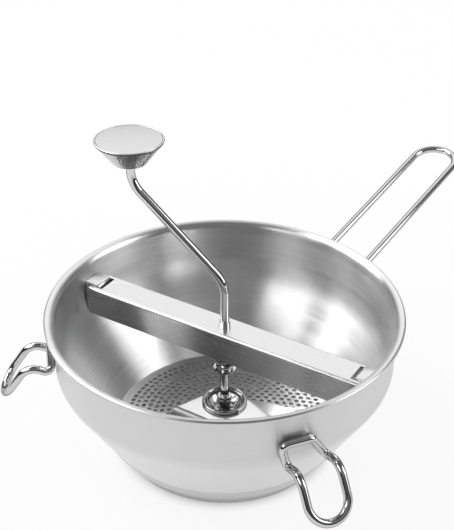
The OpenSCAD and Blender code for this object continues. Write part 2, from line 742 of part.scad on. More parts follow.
bowl();
straining_disc();
spare_disc_fine();
spare_disc_medium();
spare_disc_coarse();
bracket_left();
bracket_right();
handle_loop();
hook_left();
hook_right();
crossbar();
crossbar_bushing();
upper_spring_washer();
spring();
lower_spring_washer();
spring_pin();
crank_rod();
shaft_collar();
blade();
blade_hub();
hub_clip();
knob_shell();
knob_cap();
knob_sleeve();
knob_washer();
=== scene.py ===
import math

import bpy
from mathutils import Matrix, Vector


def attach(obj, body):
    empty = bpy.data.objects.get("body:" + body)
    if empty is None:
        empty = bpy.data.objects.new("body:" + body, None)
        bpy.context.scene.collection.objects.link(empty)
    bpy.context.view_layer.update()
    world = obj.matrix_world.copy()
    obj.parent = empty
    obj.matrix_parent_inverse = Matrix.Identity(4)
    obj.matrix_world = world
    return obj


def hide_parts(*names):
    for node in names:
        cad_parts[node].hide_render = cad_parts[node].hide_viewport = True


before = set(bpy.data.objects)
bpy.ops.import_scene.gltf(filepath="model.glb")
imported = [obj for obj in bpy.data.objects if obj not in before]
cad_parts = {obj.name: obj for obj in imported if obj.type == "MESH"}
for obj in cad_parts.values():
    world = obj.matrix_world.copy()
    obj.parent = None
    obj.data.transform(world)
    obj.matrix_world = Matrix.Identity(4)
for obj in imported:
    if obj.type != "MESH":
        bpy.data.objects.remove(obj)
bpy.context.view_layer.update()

MM = 0.001
SAME_POINT = 1e-6                               # points this close, in metres, are merged

# Sizes of the mill, in millimetres, as in the part's source
RIM_R, RIM_Z, RIM_LIP_H, WALL_R, SHEET = 120.5, 107.0, 2.4, 115.0, 1.0
KNEE_Z, CONE_FOOT_R, FOOT_R, FOOT_H = 68.0, 79.5, 73.5, 10.0
DISC_Z, DISC_T, DISC_RISE = 10.05, 1.0, 8.0
DISC_R, DISC_FLAT_R, DISC_BOSS_R = 77.3, 72.3, 9.0
LUG_W, LUG_OUT, LUG_RISE = 6.0, 2.0, 2.5
STACK_STEP = 1.5                                # from one spare disc to the next
BAR_TOP = 92.0
BRACKET_W, BRACKET_T, BRACKET_LEG, BRACKET_TIP, BRACKET_GAP = 14.2, 1.6, 25.0, 3.2, 0.06
BRACKET_TIP_X = 101.5
BLADE_SEAT_Z, BLADE_T, BLADE_R, BLADE_ROOT_R = 25.6, 1.2, 70.0, 14.5
HUB_Z, HUB_TOP, HUB_NECK_R = 19.1, 29.1, 13.25
ROD_R, ROD_FOOT_Z, ROD_TOP_Z = 3.0, 11.05, 212.2
LOW_BEND_Z, HIGH_BEND_Z, ROD_BEND_R = 126.0, 186.0, 20.0
COLLAR_R, COLLAR_H = 4.8, 4.0
KNOB_Z, KNOB_TOP, KNOB_R, KNOB_FOOT_R, KNOB_BORE_R = 201.2, 217.7, 23.0, 11.5, 3.4
WIRE_R = 2.75
RUN_GAP, WELD_GAP = 0.05, 0.03


def at_turn(reach, degrees):
    """The point (x, y) at a reach from the crank's axis, turned from +X by degrees."""
    turn = math.radians(degrees)
    return reach * math.cos(turn), reach * math.sin(turn)


KNOB_PLACE = at_turn(67.5, 187.0)
STACK_PLACE = at_turn(205.0, 121.0)             # middle of the spare discs
HANDLE_TURN, LEFT_HOOK_TURN, RIGHT_HOOK_TURN = 84.5, 215.0, 327.0


# ---- camera ------------------------------------------------------------------------------------

def set_camera():
    """The view from the front right, high enough to look into the bowl."""
    data = bpy.data.cameras.new("camera")
    camera = bpy.data.objects.new("camera", data)
    bpy.context.scene.collection.objects.link(camera)
    camera.location = (0.3304, -0.5293, 0.5232)
    camera.rotation_euler = (math.radians(58.451), 0.0, math.radians(31.97))
    data.sensor_width = 36.0
    data.lens = 76.06
    data.shift_x = 0.0044
    data.clip_start, data.clip_end = 0.01, 50.0
    bpy.context.scene.camera = camera


# ---- workshop helpers --------------------------------------------------------------------------

def only(piece):
    """Deselects everything but one object."""
    bpy.ops.object.select_all(action="DESELECT")
    piece.select_set(True)
    bpy.context.view_layer.objects.active = piece


def apply_place(piece):
    """Works the object's place, turn and size into its mesh."""
    only(piece)
    bpy.ops.object.transform_apply(location=True, rotation=True, scale=True)


def apply_all(piece):
    """Works every modifier of the object into its mesh."""
    only(piece)
    for modifier in list(piece.modifiers):
        bpy.ops.object.modifier_apply(modifier=modifier.name)


def add_plane(place, size=MM, turn=(0.0, 0.0, 0.0), stretch=(1.0, 1.0, 1.0)):
    """A new square, sized and placed in metres, from which a piece is shaped."""
    bpy.ops.object.select_all(action="DESELECT")
    bpy.ops.mesh.primitive_plane_add(size=size, location=place, rotation=turn)
    piece = bpy.context.object
    piece.scale = stretch
    apply_place(piece)
    return piece


def add_sheet(piece, thickness, offset=0.0, even=False):
    """Gives a surface its thickness in mm, on both sides or all on one."""
    sheet = piece.modifiers.new("sheet", "SOLIDIFY")
    sheet.thickness = thickness * MM
    sheet.offset = offset
    sheet.use_even_offset = even


def add_bevel(piece, width, degrees=30.0, segments=2):
    """Rounds the edges that turn by more than some degrees, by a width in mm."""
    bevel = piece.modifiers.new("bevel", "BEVEL")
    bevel.width = width * MM
    bevel.segments = segments
    bevel.limit_method = "ANGLE"
    bevel.angle_limit = math.radians(degrees)


def smooth(piece, degrees=35.0):
    """Smooth shading, but for edges that turn by more than some degrees."""
    only(piece)
    bpy.ops.object.shade_smooth_by_angle(angle=math.radians(degrees))


def end_edit():
    """Leaves edit mode, with doubled points merged and all faces turned outwards."""
    bpy.ops.mesh.select_all(action="SELECT")
    bpy.ops.mesh.remove_doubles(threshold=SAME_POINT)
    bpy.ops.mesh.normals_make_consistent(inside=False)
    bpy.ops.object.mode_set(mode="OBJECT")


def bend_at(before, here, after, radius):
    """A rounded corner: its centre, and the spokes from there to its two ends."""
    a, b = (before - here).normalized(), (after - here).normalized()
    half = a.angle(b) / 2
    reach = radius / math.tan(half)
    centre = here + (a + b).normalized() * (radius / math.sin(half))
    return centre, here + a * reach - centre, here + b * reach - centre


def rounded_outline(corners):
    """A closed outline of (radius, height), whose corners (r, z, radius, steps) are rounded."""
    points = []
    places = [Vector(corner[:2]) for corner in corners]
    for i, (r, z, radius, steps) in enumerate(corners):
        if radius == 0:
            points.append((r, z))
            continue
        centre, start, end = bend_at(places[i - 1], places[i], places[(i + 1) % len(places)],
                                     radius)
        turn = start.angle_signed(end)
        for k in range(steps + 1):
            t = -turn * k / steps
            points.append((centre.x + start.x * math.cos(t) - start.y * math.sin(t),
                           centre.y + start.x * math.sin(t) + start.y * math.cos(t)))
    return points


def bent_path(corners, closed=False):
    """Points in mm of a wire's centreline, whose corners (x, y, z, radius, steps) are bends."""
    points = []
    places = [Vector(corner[:3]) for corner in corners]
    for i, (_, _, _, radius, steps) in enumerate(corners):
        if radius == 0 or (not closed and i in (0, len(places) - 1)):
            points.append(places[i])
            continue
        centre, start, end = bend_at(places[i - 1], places[i], places[(i + 1) % len(places)],
                                     radius)
        turn = start.angle(end)
        for k in range(steps + 1):
            t = k / steps
            points.append(centre + (start * math.sin((1 - t) * turn)
                                    + end * math.sin(t * turn)) / math.sin(turn))
    return points


def turned(name, outline, steps=128, centre=(0.0, 0.0), degrees=35.0):
    """A turned piece: a closed outline of (radius, height) in mm, spun round its axis."""
    cx, cy = centre[0] * MM, centre[1] * MM
    r0, z0 = outline[0]
    piece = add_plane((cx + r0 * MM, cy, z0 * MM))
    piece.name = name
    bpy.ops.object.mode_set(mode="EDIT")
    bpy.ops.mesh.select_mode(type="VERT")
    bpy.ops.mesh.select_all(action="SELECT")
    bpy.ops.mesh.merge(type="CENTER")
    solid_core = outline[0][0] == 0.0 and outline[-1][0] == 0.0
    ahead = outline[1:] if solid_core else outline[1:] + outline[:1]
    for (r1, z1), (r2, z2) in zip(outline, ahead):
        bpy.ops.mesh.extrude_vertices_move(
            TRANSFORM_OT_translate={"value": ((r2 - r1) * MM, 0.0, (z2 - z1) * MM)})
    bpy.ops.mesh.select_all(action="SELECT")
    bpy.ops.mesh.remove_doubles(threshold=SAME_POINT)
    bpy.ops.mesh.select_all(action="SELECT")
    bpy.ops.mesh.spin(steps=steps, angle=math.tau, center=(cx, cy, 0.0), axis=(0.0, 0.0, 1.0))
    end_edit()
    smooth(piece, degrees)
    return piece


def wire(name, path, radius, closed=False, sides=8):
    """A round wire along the points of a path in mm."""
    bpy.ops.object.select_all(action="DESELECT")
    bpy.ops.curve.primitive_bezier_curve_add(location=(0, 0, 0))
    piece = bpy.context.object
    piece.name = name
    curve = piece.data
    curve.splines.clear()
    spline = curve.splines.new("POLY")
    spline.points.add(len(path) - 1)
    for point, place in zip(spline.points, path):
        point.co = (place[0] * MM, place[1] * MM, place[2] * MM, 1.0)
    spline.use_cyclic_u = closed
    curve.dimensions = "3D"
    curve.twist_mode = "MINIMUM"
    curve.bevel_depth = radius * MM
    curve.bevel_resolution = sides
    curve.use_fill_caps = not closed
    only(piece)
    bpy.ops.object.convert(target="MESH")
    piece = bpy.context.object
    piece.name = name
    bpy.ops.object.mode_set(mode="EDIT")
    end_edit()
    smooth(piece, 50.0)
    return piece


def turn_about_axis(points, degrees):
    c, s = at_turn(1.0, degrees)
    return [Vector((p[0] * c - p[1] * s, p[0] * s + p[1] * c, p[2])) for p in points]


# ---- material helpers --------------------------------------------------------------------------

def tree_of(owner):
    """The node tree of a material or world, with its ready-made first nodes."""
    owner.use_nodes = True
    return owner.node_tree


def add_node(tree, kind, inputs=None, **settings):
    """A node whose inputs, by name or number, take values or other nodes' sockets."""
    node = tree.nodes.new("ShaderNode" + kind)
    for setting, choice in settings.items():
        setattr(node, setting, choice)
    for place, source in (inputs or {}).items():
        if isinstance(source, bpy.types.NodeSocket):
            tree.links.new(source, node.inputs[place])
        else:
            node.inputs[place].default_value = source
    return node


def calc(tree, operation, *terms):
    """The result of one sum on sockets and numbers."""
    return add_node(tree, "Math", dict(enumerate(terms)), operation=operation).outputs[0]


def grey(level):
    return (level, level, level, 1.0)


def blend(tree, share, first, second):
    """The colour between the first at share 0 and the second at share 1."""
    return add_node(tree, "Mix", {"Factor": share, "A": first, "B": second},
                    data_type="RGBA").outputs["Result"]


def span(tree, value, ends, results, **settings):
    """The value's place between two ends, carried over to a span of results."""
    return add_node(tree, "MapRange", {
        "Value": value, "From Min": ends[0], "From Max": ends[1],
        "To Min": results[0], "To Max": results[1]}, **settings).outputs["Result"]


def grey_ramp(tree, value, stops):
    """The grey that a value picks from the stops (position, level)."""
    ramp = add_node(tree, "ValToRGB", {"Fac": value})
    first, last = ramp.color_ramp.elements
    first.position, last.position = stops[0][0], stops[-1][0]
    first.color, last.color = grey(stops[0][1]), grey(stops[-1][1])
    for position, level in stops[1:-1]:
        ramp.color_ramp.elements.new(position).color = grey(level)
    return ramp.outputs["Color"]


def object_place(tree):
    return add_node(tree, "TexCoord").outputs["Object"]


def ring_pattern(tree, place):
    """Coordinates that run with the radius and the height, and barely round the axis."""
    drift = 0.0012
    split = add_node(tree, "SeparateXYZ", {"Vector": place}).outputs
    x, y, z = split["X"], split["Y"], split["Z"]
    radius = calc(tree, "SQRT", calc(tree, "ADD", calc(tree, "MULTIPLY", x, x),
                                     calc(tree, "MULTIPLY", y, y)))
    wave = calc(tree, "SINE", calc(tree, "ARCTAN2", y, x))
    return add_node(tree, "CombineXYZ", {
        "X": radius, "Y": z, "Z": calc(tree, "MULTIPLY", wave, drift)}).outputs["Vector"]


def steel(name, tone, rough, grain, grain_size, tone_spread=0.05, rough_spread=0.08, bump=0.15,
          aniso=0.0, centre=(0.0, 0.0)):
    """Stainless steel with fine grinding lines: round the axis, along X, or none."""
    line_share, smudge_share, smudge_size = 0.6, 0.4, 40.0
    along_bar = 0.02
    material = bpy.data.materials.new(name)
    tree = tree_of(material)
    shader = tree.nodes["Principled BSDF"].inputs
    shader["Metallic"].default_value = 1.0
    shader["Anisotropic"].default_value = aniso
    shader["Anisotropic Rotation"].default_value = 0.25

    place = add_node(tree, "Mapping", {
        "Vector": object_place(tree),
        "Location": (-centre[0] * MM, -centre[1] * MM, 0.0)}).outputs["Vector"]
    pattern = ring_pattern(tree, place) if grain == "ring" else place
    stretch = grain_size * along_bar if grain == "bar" else grain_size
    fine = add_node(tree, "Mapping", {
        "Vector": pattern, "Scale": (stretch, grain_size, grain_size)}).outputs["Vector"]
    lines = add_node(tree, "TexNoise", {
        "Vector": fine, "Scale": 1.0, "Detail": 5.0, "Roughness": 0.65}).outputs["Fac"]
    smudges = add_node(tree, "TexNoise", {
        "Vector": place, "Scale": smudge_size, "Detail": 3.0}).outputs["Fac"]
    wear = calc(tree, "MULTIPLY_ADD", lines, line_share,
                calc(tree, "MULTIPLY", smudges, smudge_share))

    colour = blend(tree, wear, grey(tone - tone_spread), grey(min(1.0, tone + tone_spread)))
    polish = span(tree, wear, (0.3, 0.7), (rough - rough_spread, rough + rough_spread))
    relief = add_node(tree, "Bump", {"Height": lines, "Strength": bump, "Distance": 0.0001})
    tree.links.new(colour, shader["Base Color"])
    tree.links.new(polish, shader["Roughness"])
    tree.links.new(relief.outputs["Normal"], shader["Normal"])
    if aniso > 0:
        tangent = add_node(tree, "Tangent", direction_type="RADIAL", axis="Z")
        tree.links.new(tangent.outputs["Tangent"], shader["Tangent"])
    return material


def scale_tone(material, factor):
    """Multiplies a steel's tone by the value of the socket factor."""
    tree = material.node_tree
    colour = tree.nodes["Principled BSDF"].inputs["Base Color"]
    product = add_node(tree, "VectorMath", {0: colour.links[0].from_socket, "Scale": factor},
                       operation="SCALE")
    tree.links.new(product.outputs[0], colour)


def paint_shading_below(material, z, level, soft=0.0006):
    """Painted light and shade: steel whose tone is another share of itself below the height z, in
    metres.
    """
    tree = material.node_tree
    height = add_node(tree, "SeparateXYZ", {"Vector": object_place(tree)}).outputs["Z"]
    scale_tone(material, span(tree, height, (z - soft, z), (level, 1.0)))


def paint_reflection_by_view(material, starts, ends, facing_tone, edge_tone):
    """Chrome with painted reflections: its tone goes from one share where it faces the eye to
    another at its edges.
    """
    tree = material.node_tree
    facing = add_node(tree, "LayerWeight", {"Blend": 0.5}).outputs["Facing"]
    scale_tone(material, span(tree, facing, (starts, ends), (facing_tone, edge_tone),
                              interpolation_type="SMOOTHSTEP"))


def dark_plastic(name):
    material = bpy.data.materials.new(name)
    tree = tree_of(material)
    shader = tree.nodes["Principled BSDF"].inputs
    shader["Roughness"].default_value = 0.5
    grain = add_node(tree, "TexNoise", {"Vector": object_place(tree), "Scale": 900.0})
    colour = blend(tree, grain.outputs["Fac"], (0.05, 0.05, 0.055, 1.0), (0.09, 0.09, 0.095, 1.0))
    tree.links.new(colour, shader["Base Color"])
    return material


# ---- finishes, with painted shade and reflections ----------------------------------------------

POLISHED = {"grain": "none", "grain_size": 700.0, "tone_spread": 0.03, "rough_spread": 0.02,
            "bump": 0.02}
FINE_TURNED = {"grain": "ring", "grain_size": 1500.0}

bowl_steel = steel("bowl_brushed_steel", 0.82, 0.32, "ring", 380.0, tone_spread=0.18,
                   rough_spread=0.07, bump=0.42, aniso=0.88)
outer_steel = steel("bowl_outer_steel", 0.70, 0.36, "ring", 900.0, rough_spread=0.04,
                    bump=0.05, aniso=0.6)
# Painted shade and light on the bowl's outside: 0.8 of its tone below 21.5 mm as shade at the
# foot, and 1.14 times its tone below 60 mm, easing up to 72 mm, as a painted reflection over the
# cone.
paint_shading_below(outer_steel, 0.0215, 0.80)
paint_shading_below(outer_steel, 0.072, 1.14, soft=0.012)
disc_steel = steel("disc_pressed_steel", 0.74, 0.34, "none", 900.0)
bar_steel = steel("bar_satin_steel", 0.74, 0.26, "bar", 1800.0)
# Painted shade: below 91.5 mm, on the bar's sides and the brackets' legs, this steel is painted at
# half its tone.
paint_shading_below(bar_steel, 0.0915, 0.5)
rod_chrome = steel("rod_polished_steel", 0.68, 0.07, **POLISHED)
# Painted reflection: the tone of the rod and of the bar's bushing falls to 0.12 of itself at their
# edges, as dark edges.
paint_reflection_by_view(rod_chrome, 0.3, 0.75, 1.0, 0.12)
wire_chrome = steel("wire_polished_steel", 0.62, 0.07, **POLISHED)
# Painted reflection: the wires' tone falls to 0.3 of itself at their edges, as dark edges.
paint_reflection_by_view(wire_chrome, 0.35, 0.8, 1.0, 0.3)
knob_chrome = steel("knob_cup_chrome", 0.58, 0.12, **POLISHED)
# Painted reflection: the knob's cup is painted at 0.2 of its tone where it faces the eye, and at
# 0.9 at its edges.
paint_reflection_by_view(knob_chrome, 0.42, 0.72, 0.2, 0.9)
blade_steel = steel("blade_satin_steel", 0.78, 0.18, tone_spread=0.03, rough_spread=0.04,
                    bump=0.05, **FINE_TURNED)
# Painted shade: a dark copy of the blade's steel for its edges and front lip.
lip_painted_shade_steel = steel("blade_lip_painted_shade", 0.30, 0.38, "none", 900.0, tone_spread=0.03)
small_steel = steel("small_parts_steel", 0.66, 0.14, rough_spread=0.04, bump=0.03, **FINE_TURNED)
hub_steel = steel("hub_polished_steel", 0.45, 0.15, rough_spread=0.04, bump=0.03, **FINE_TURNED)
lid_steel = steel("knob_lid_satin", 0.70, 0.30, rough_spread=0.05, bump=0.06, centre=KNOB_PLACE,
                  **FINE_TURNED)
spring_steel = steel("spring_wire_steel", 0.5, 0.2, "none", 900.0)
sleeve_plastic = dark_plastic("sleeve_dark_plastic")


def settle(piece, body, material, slot, *stands_for):
    """Gives a finished piece its body, its material and the CAD nodes it stands for."""
    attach(piece, body)
    piece.data.materials.clear()
    piece.data.materials.append(material)
    if stands_for:
        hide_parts(*stands_for)


def second_finish_and_painted_shade(piece, material, takes_it):
    """Gives the faces of a settled piece that are chosen a second material: a second finish, and
    on the blade's edges and lip a darker copy of its steel as painted shade.
    """
    piece.data.materials.append(material)
    for face in piece.data.polygons:
        if takes_it(face):
            face.material_index = 1


def coat_node(node, material):
    """A CAD node keeps its mesh and takes a new material."""
    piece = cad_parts[node]
    if not piece.material_slots:
        piece.data.materials.append(material)
    for place in piece.material_slots:
        place.material = material


# ---- bowl --------------------------------------------------------------------------------------

def make_bowl():
    """One sheet: foot ring, disc seat, cone with a short band, straight wall and rim."""
    inner = WALL_R - SHEET
    band = [(86.6, 20.0, 1.0, 4), (86.7, 22.4, 1.0, 4), (89.3, 25.3, 1.5, 4)]
    outside = [(FOOT_R - SHEET, 0.0, 0.4, 3), (FOOT_R, 0.0, 0.4, 3),
               (FOOT_R, FOOT_H - SHEET, 0.6, 3), (CONE_FOOT_R, FOOT_H - SHEET, 1.6, 4)]
    outside += band
    outside += [(WALL_R, KNEE_Z, 18.0, 12), (WALL_R, RIM_Z - SHEET, 4.0, 9),
                (RIM_R - SHEET, RIM_Z - SHEET, 0.5, 3),
                (RIM_R - SHEET, RIM_Z - RIM_LIP_H, 0.0, 0), (RIM_R, RIM_Z - RIM_LIP_H, 0.3, 2)]
    inside = [(RIM_R, RIM_Z, 1.3, 6), (inner, RIM_Z, 5.0, 10), (inner, KNEE_Z, 42.0, 22),
              (CONE_FOOT_R - SHEET, FOOT_H, 1.6, 4), (FOOT_R - SHEET, FOOT_H, 0.4, 3)]
    return turned("bowl_shell", rounded_outline(outside + inside), steps=192, degrees=40.0)


def is_outside(face):
    """Whether a face of the bowl looks away from the axis."""
    outwards = Vector((face.center.x, face.center.y, 0.0)).normalized()
    return face.normal.dot(outwards) > 0.1


# ---- discs -------------------------------------------------------------------------------------

def disc_blank(name, z, centre):
    """The pressing without its holes: a flat rim, a low cone and a flat boss."""
    bore, top = ROD_R + RUN_GAP, z + DISC_RISE
    return turned(name, rounded_outline([
        (bore, top, 0.0, 0), (DISC_BOSS_R, top, 1.2, 3), (DISC_FLAT_R, z, 2.0, 4),
        (DISC_R, z, 0.3, 2), (DISC_R, z + DISC_T, 0.3, 2), (DISC_FLAT_R, z + DISC_T, 2.0, 4),
        (DISC_BOSS_R, top + DISC_T, 1.2, 3), (bore, top + DISC_T, 0.3, 2)]),
        steps=160, centre=centre)


def disc_lugs(disc, z, centre, turn):
    """The two small lugs at the rim, bent out and up."""
    root = (DISC_R - 0.5) * MM
    for side in (turn, turn + math.pi):
        lug = add_plane((root, 0.0, (z + DISC_T / 2) * MM), stretch=(1.0, LUG_W, 1.0))
        for poly in lug.data.polygons:
            poly.select = False
        for v in lug.data.vertices:
            v.select = v.co.x > root
        for edge in lug.data.edges:
            edge.select = all(lug.data.vertices[v].select for v in edge.vertices)
        bpy.ops.object.mode_set(mode="EDIT")
        bpy.ops.mesh.select_mode(type="EDGE")
        bpy.ops.mesh.extrude_region_move(
            TRANSFORM_OT_translate={"value": (LUG_OUT * MM, 0.0, LUG_RISE * MM)})
        bpy.ops.object.mode_set(mode="OBJECT")
        add_sheet(lug, 0.9)
        add_bevel(lug, 0.3)
        apply_all(lug)
        lug.rotation_euler = (0.0, 0.0, side)
        lug.location = (centre[0] * MM, centre[1] * MM, 0.0)
        apply_place(lug)
        smooth(lug)
        disc.select_set(True)
        bpy.context.view_layer.objects.active = disc
        bpy.ops.object.join()


def ring_of_cutters(radius, count, shift, hole_r, z, sides):
    """One ring of round cutters, a cylinder repeated about the axis."""
    depth = 30.0
    bpy.ops.object.select_all(action="DESELECT")
    start = shift * math.tau / count
    bpy.ops.mesh.primitive_cylinder_add(
        vertices=sides, radius=hole_r * MM, depth=depth * MM, rotation=(0.0, 0.0, start),
        location=(radius * MM * math.cos(start), radius * MM * math.sin(start),
                  (z + DISC_RISE / 2) * MM))
    cutter = bpy.context.object
    apply_place(cutter)
    step = bpy.data.objects.new("ring_step", None)
    bpy.context.scene.collection.objects.link(step)
    step.rotation_euler = (0.0, 0.0, math.tau / count)
    bpy.context.view_layer.update()
    repeat = cutter.modifiers.new("repeat", "ARRAY")
    repeat.count = count
    repeat.use_relative_offset = False
    repeat.use_object_offset = True
    repeat.offset_object = step
    apply_all(cutter)
    bpy.data.objects.remove(step)
    return cutter


def even_rings(z, first, last, pitch, hole_r, sides):
    """Rings of holes at an even pitch, every other one shifted by half a hole."""
    steps = int(round((last - first) / pitch))
    rings = []
    for k in range(steps + 1):
        r = first + (last - first) * k / steps
        rings.append(ring_of_cutters(r, int(round(math.tau * r / pitch)), 0.5 * (k % 2),
                                     hole_r, z, sides))
    return rings


def medium_holes(z):
    return even_rings(z, first=15.5, last=69.9, pitch=4.9, hole_r=1.75, sides=12)


def coarse_holes(z):
    return even_rings(z, first=19.0, last=67.5, pitch=7.0, hole_r=2.35, sides=14)


def fine_holes(z):
    """Small holes in ten fields, with plain spokes between them."""
    fields, rings, first, pitch, hole_r, sides = 10, 14, 25.0, 3.3, 0.8, 8
    cutters = []
    for k in range(rings):
        r = first + k * pitch
        in_field = max(3, int(round(math.tau * r / fields / pitch)) - 1)
        cutters.append(ring_of_cutters(r, fields * in_field, 0.5, hole_r, z, sides))
    return cutters


def perforate(disc, cutters, centre):
    """Cuts every hole of a disc in one go."""
    bpy.ops.object.select_all(action="DESELECT")
    for cutter in cutters:
        cutter.select_set(True)
    bpy.context.view_layer.objects.active = cutters[0]
    bpy.ops.object.join()
    tool = bpy.context.object
    tool.location = (centre[0] * MM, centre[1] * MM, 0.0)
    apply_place(tool)
    cut = disc.modifiers.new("holes", "BOOLEAN")
    cut.operation = "DIFFERENCE"
    cut.solver = "MANIFOLD"
    cut.object = tool
    apply_all(disc)
    bpy.data.objects.remove(tool)


def make_disc(name, z, centre, holes, lug_turn=0.0):
    disc = disc_blank(name, z, centre)
    perforate(disc, holes(z), centre)
    disc_lugs(disc, z, centre, lug_turn)
    smooth(disc)
    return disc


# ---- blade -------------------------------------------------------------------------------------

# Each fold falls away beyond a line: its direction in degrees, its distance and its slope
FOLDS = [(270.0, 24.0, 1.3), (340.0, 38.0, 0.8), (66.0, 16.3, 0.42)]
FOLD_BEND, DISC_CLEARANCE, LEVEL_BEND = 1.6, 0.7, 0.8
ROOT_FROM, TIP_FROM, FAN_TO = 160.5, 234.0, 400.0          # the fan's sides, in degrees
LIP_Y = -22.4                                              # the lip, painted in shade, lies in front of this


def soft_over(value, round_off):
    """value above zero, eased in over a short way, as sheet bends on a radius."""
    if value <= -round_off:
        return 0.0
    if value >= round_off:
        return value
    return (value + round_off) ** 2 / (4 * round_off)


def disc_top(r):
    """Height of the fitted disc's upper side at a distance from the axis."""
    inwards = (DISC_FLAT_R - r) / (DISC_FLAT_R - DISC_BOSS_R)
    return DISC_Z + DISC_T + DISC_RISE * max(0.0, min(1.0, inwards))


def blade_height(x, y):
    """Height of the sheet's underside: its seat, less the folds, but clear of the disc."""
    fall = 0.0
    for turn, dist, slope in FOLDS:
        c, s = at_turn(1.0, turn)
        fall = max(fall, soft_over(x * c + y * s - dist, FOLD_BEND) * slope)
    low = disc_top(math.hypot(x, y)) + DISC_CLEARANCE
    return low + soft_over(BLADE_SEAT_Z - fall - low, LEVEL_BEND)


def make_blade():
    """A fan of sheet, folded in front of and beside the hub, with a flat eye round it."""
    bpy.ops.object.select_all(action="DESELECT")
    bpy.ops.mesh.primitive_grid_add(x_subdivisions=96, y_subdivisions=60, size=2.0)
    fan = bpy.context.object
    fan.name = "blade_sheet"
    for v in fan.data.vertices:
        t, s = (v.co.x + 1) / 2, (v.co.y + 1) / 2
        root = at_turn((1 - s) * BLADE_ROOT_R, ROOT_FROM + (FAN_TO - ROOT_FROM) * t)
        tip = at_turn(s * BLADE_R, TIP_FROM + (FAN_TO - TIP_FROM) * t)
        x, y = root[0] + tip[0], root[1] + tip[1]
        v.co = (x * MM, y * MM, blade_height(x, y) * MM)
    only(fan)
    bpy.ops.object.mode_set(mode="EDIT")
    end_edit()
    if fan.data.polygons[0].normal.z < 0:
        fan.data.flip_normals()
    add_sheet(fan, BLADE_T, offset=1.0)
    add_bevel(fan, 0.25, degrees=60.0)
    apply_all(fan)
    bore, edge, low, high = 13.3, 16.5, BLADE_SEAT_Z + 0.01, BLADE_SEAT_Z + BLADE_T - 0.01
    eye = turned("blade_eye", rounded_outline([
        (bore, low, 0.2, 2), (edge, low, 0.25, 2), (edge, high, 0.25, 2), (bore, high, 0.2, 2)]),
        steps=96)
    only(fan)
    eye.select_set(True)
    bpy.ops.object.join()
    smooth(fan, 30.0)
    return fan


def is_lip(face):
    """Whether a face of the blade belongs to its edges or its front lip, which are painted in
    shade.
    """
    return abs(face.normal.z) < 0.75 or face.center.y < LIP_Y * MM


def make_hub():
    """The cup that holds the blade, with its rolled edge and the core on the rod."""
    bore, core, neck, inner = ROD_R + 0.06, 3.7, HUB_NECK_R, 12.05
    roll_at, roll_r = 14.6, 1.3
    edge_z = BLADE_SEAT_Z + BLADE_T + RUN_GAP + roll_r
    under = [(bore, HUB_Z), (8.3, HUB_Z), (8.6, HUB_Z + 0.3), (neck - 0.05, BLADE_SEAT_Z - 0.4),
             (neck, BLADE_SEAT_Z), (neck, BLADE_SEAT_Z + BLADE_T)]
    roll = [(roll_at + dr, edge_z + dz)
            for dr, dz in (at_turn(roll_r, degrees) for degrees in range(-120, 151, 18))]
    over = [(12.4, edge_z + 0.2), (inner, edge_z - 0.6), (inner, BLADE_SEAT_Z),
            (7.6, HUB_Z + 1.4), (6.6, HUB_Z + 1.2), (4.1, HUB_Z + 1.2), (core, HUB_Z + 1.6),
            (core, HUB_TOP - 0.3), (core - 0.2, HUB_TOP), (bore, HUB_TOP)]
    return turned("hub_cup", under + roll + over, degrees=38.0)


def make_hub_wire():
    """The short wire that locks the hub, lying in the cup with one end turned up."""
    r, lie = 0.95, 32.0
    z = HUB_Z + 1.2 + r + 0.9
    path = bent_path([(-5.2, 0, z, 0, 0), (6.3, 0, z, 1.6, 6),
                      (9.9, 3.0, BLADE_SEAT_Z + BLADE_T, 0, 0)])
    return wire("hub_lock_wire", turn_about_axis(path, lie), r, sides=4)


# ---- crank -------------------------------------------------------------------------------------

def make_rod():
    """The rod is straight in its bearings, with one bend above the bar and one below the knob."""
    x, y = KNOB_PLACE
    path = bent_path([(0, 0, ROD_FOOT_Z, 0, 0), (0, 0, LOW_BEND_Z, ROD_BEND_R, 14),
                      (x, y, HIGH_BEND_Z, ROD_BEND_R, 14), (x, y, ROD_TOP_Z, 0, 0)])
    return wire("crank_shaft", path, ROD_R)


def make_collar():
    inner, low, high = ROD_R + RUN_GAP, HUB_TOP + RUN_GAP, HUB_TOP + RUN_GAP + COLLAR_H
    return turned("rod_collar", rounded_outline([
        (inner, low, 0.25, 2), (COLLAR_R, low, 0.25, 2), (COLLAR_R, high, 0.25, 2),
        (inner, high, 0.25, 2)]), steps=64)


def make_knob_cup():
    """The knob's hollow cone, with a rounded lip round its lid."""
    lip, mouth, wall = KNOB_TOP - 0.55, 21.7, 1.0
    return turned("knob_cup", rounded_outline([
        (KNOB_BORE_R, KNOB_Z, 0.2, 2), (KNOB_FOOT_R, KNOB_Z, 0.9, 4),
        (KNOB_R - 0.7, KNOB_TOP - 2.6, 0.8, 3), (KNOB_R, KNOB_TOP - 1.9, 0.7, 4),
        (KNOB_R - 0.15, lip, 0.6, 5), (mouth, lip, 0.3, 3), (mouth, KNOB_TOP - 2.2, 0.0, 0),
        (KNOB_FOOT_R - 0.9, KNOB_Z + wall, 0.0, 0), (KNOB_BORE_R, KNOB_Z + wall, 0.0, 0)]),
        centre=KNOB_PLACE, degrees=40.0)


def is_cup_lip(face):
    """Whether a face of the knob's cup is on top of its lip."""
    return face.normal.z > 0.35 and face.center.z > (KNOB_TOP - 1.5) * MM


